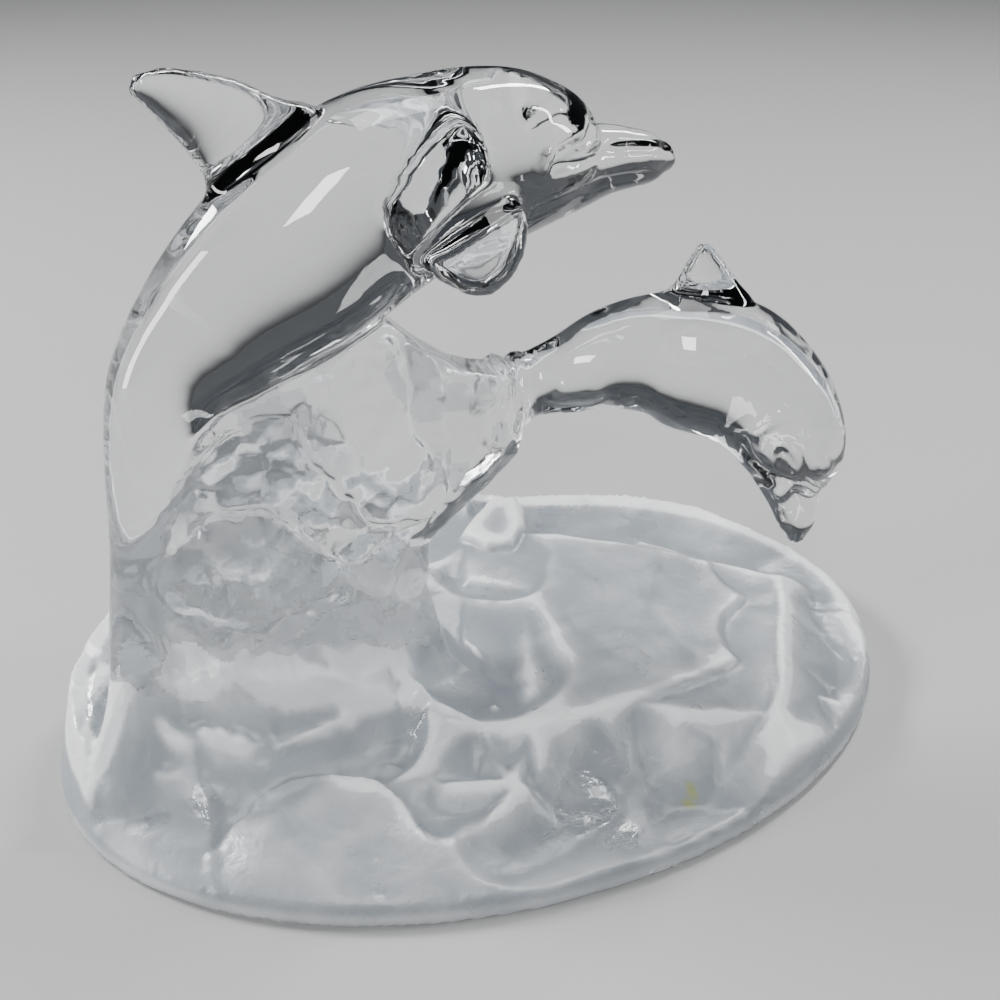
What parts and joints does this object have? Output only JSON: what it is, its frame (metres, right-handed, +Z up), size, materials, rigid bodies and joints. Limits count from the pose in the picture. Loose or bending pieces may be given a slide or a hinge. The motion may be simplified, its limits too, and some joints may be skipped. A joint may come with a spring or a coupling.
{
  "type": "crystal dolphin figurine",
  "caption": "Clear cast-crystal ornament: an adult dolphin and a calf leap in arcs from a rock on a frosted oval base.",
  "frame": {"origin": "centre of the oval base, on the surface it stands on", "axes": "+X along the base's long side towards the calf, +Y across the base away from the front, +Z up"},
  "size_m": [0.1682, 0.1172, 0.1281],
  "materials": {
    "crystal": "clear fire-polished lead crystal above, satin-frosted on the base"
  },
  "bodies": {
    "root": {"dolphin_figurine": "crystal"}
  },
  "joints": []
}
